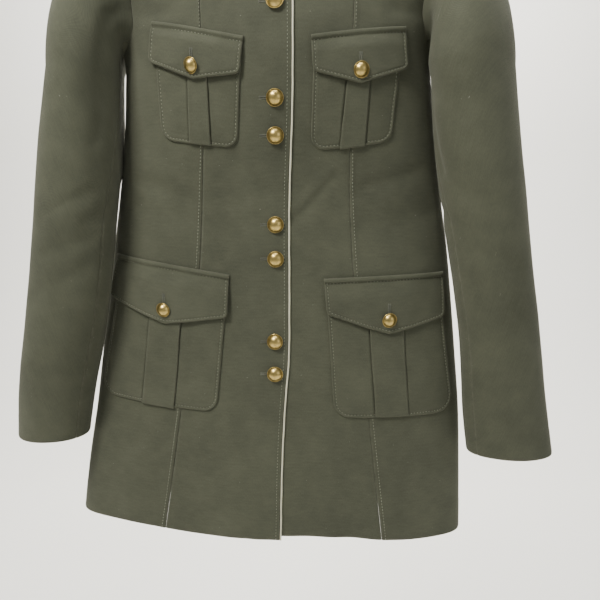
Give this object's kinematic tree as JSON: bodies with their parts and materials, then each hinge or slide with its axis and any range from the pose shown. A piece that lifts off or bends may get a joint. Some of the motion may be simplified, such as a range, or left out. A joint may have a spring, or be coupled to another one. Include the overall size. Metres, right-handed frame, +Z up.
{
  "type": "longline military jacket on a hanger",
  "caption": "Thigh-length military-style jacket in olive twill with piped buttoned front and flapped box-pleat patch pockets, hung on a plain hanger by its hook.",
  "frame": {"origin": "inside top of the hanger's hook, where it rests on a rail", "axes": "+Z up, -Y the way the front faces, +X towards the wearer's left"},
  "size_m": [0.6695, 0.179, 0.8876],
  "materials": {
    "twill": "matt cotton twill",
    "brass": "antiqued, worn bright on the dome",
    "cord": "smooth cream piping",
    "wood": "satin",
    "steel": "bright"
  },
  "bodies": {
    "root": {"back_left": "twill", "back_right": "twill", "button_chest_left": "brass", "button_chest_right": "brass", "button_front_1": "brass", "button_front_2": "brass", "button_front_3": "brass", "button_front_4": "brass", "button_front_5": "brass", "button_front_6": "brass", "button_front_7": "brass", "button_front_8": "brass", "button_lower_left": "brass", "button_lower_right": "brass", "collar": "twill", "flap_chest_left": "twill", "flap_chest_right": "twill", "flap_lower_left": "twill", "flap_lower_right": "twill", "front_left": "twill", "front_right": "twill", "hanger_bar": "wood", "hanger_hook": "steel", "piping_front": "cord", "pocket_chest_left": "twill", "pocket_chest_right": "twill", "pocket_lower_left": "twill", "pocket_lower_right": "twill", "side_front_left": "twill", "side_front_right": "twill", "sleeve_under_left": "twill", "sleeve_under_right": "twill", "sleeve_upper_left": "twill", "sleeve_upper_right": "twill"}
  },
  "joints": []
}
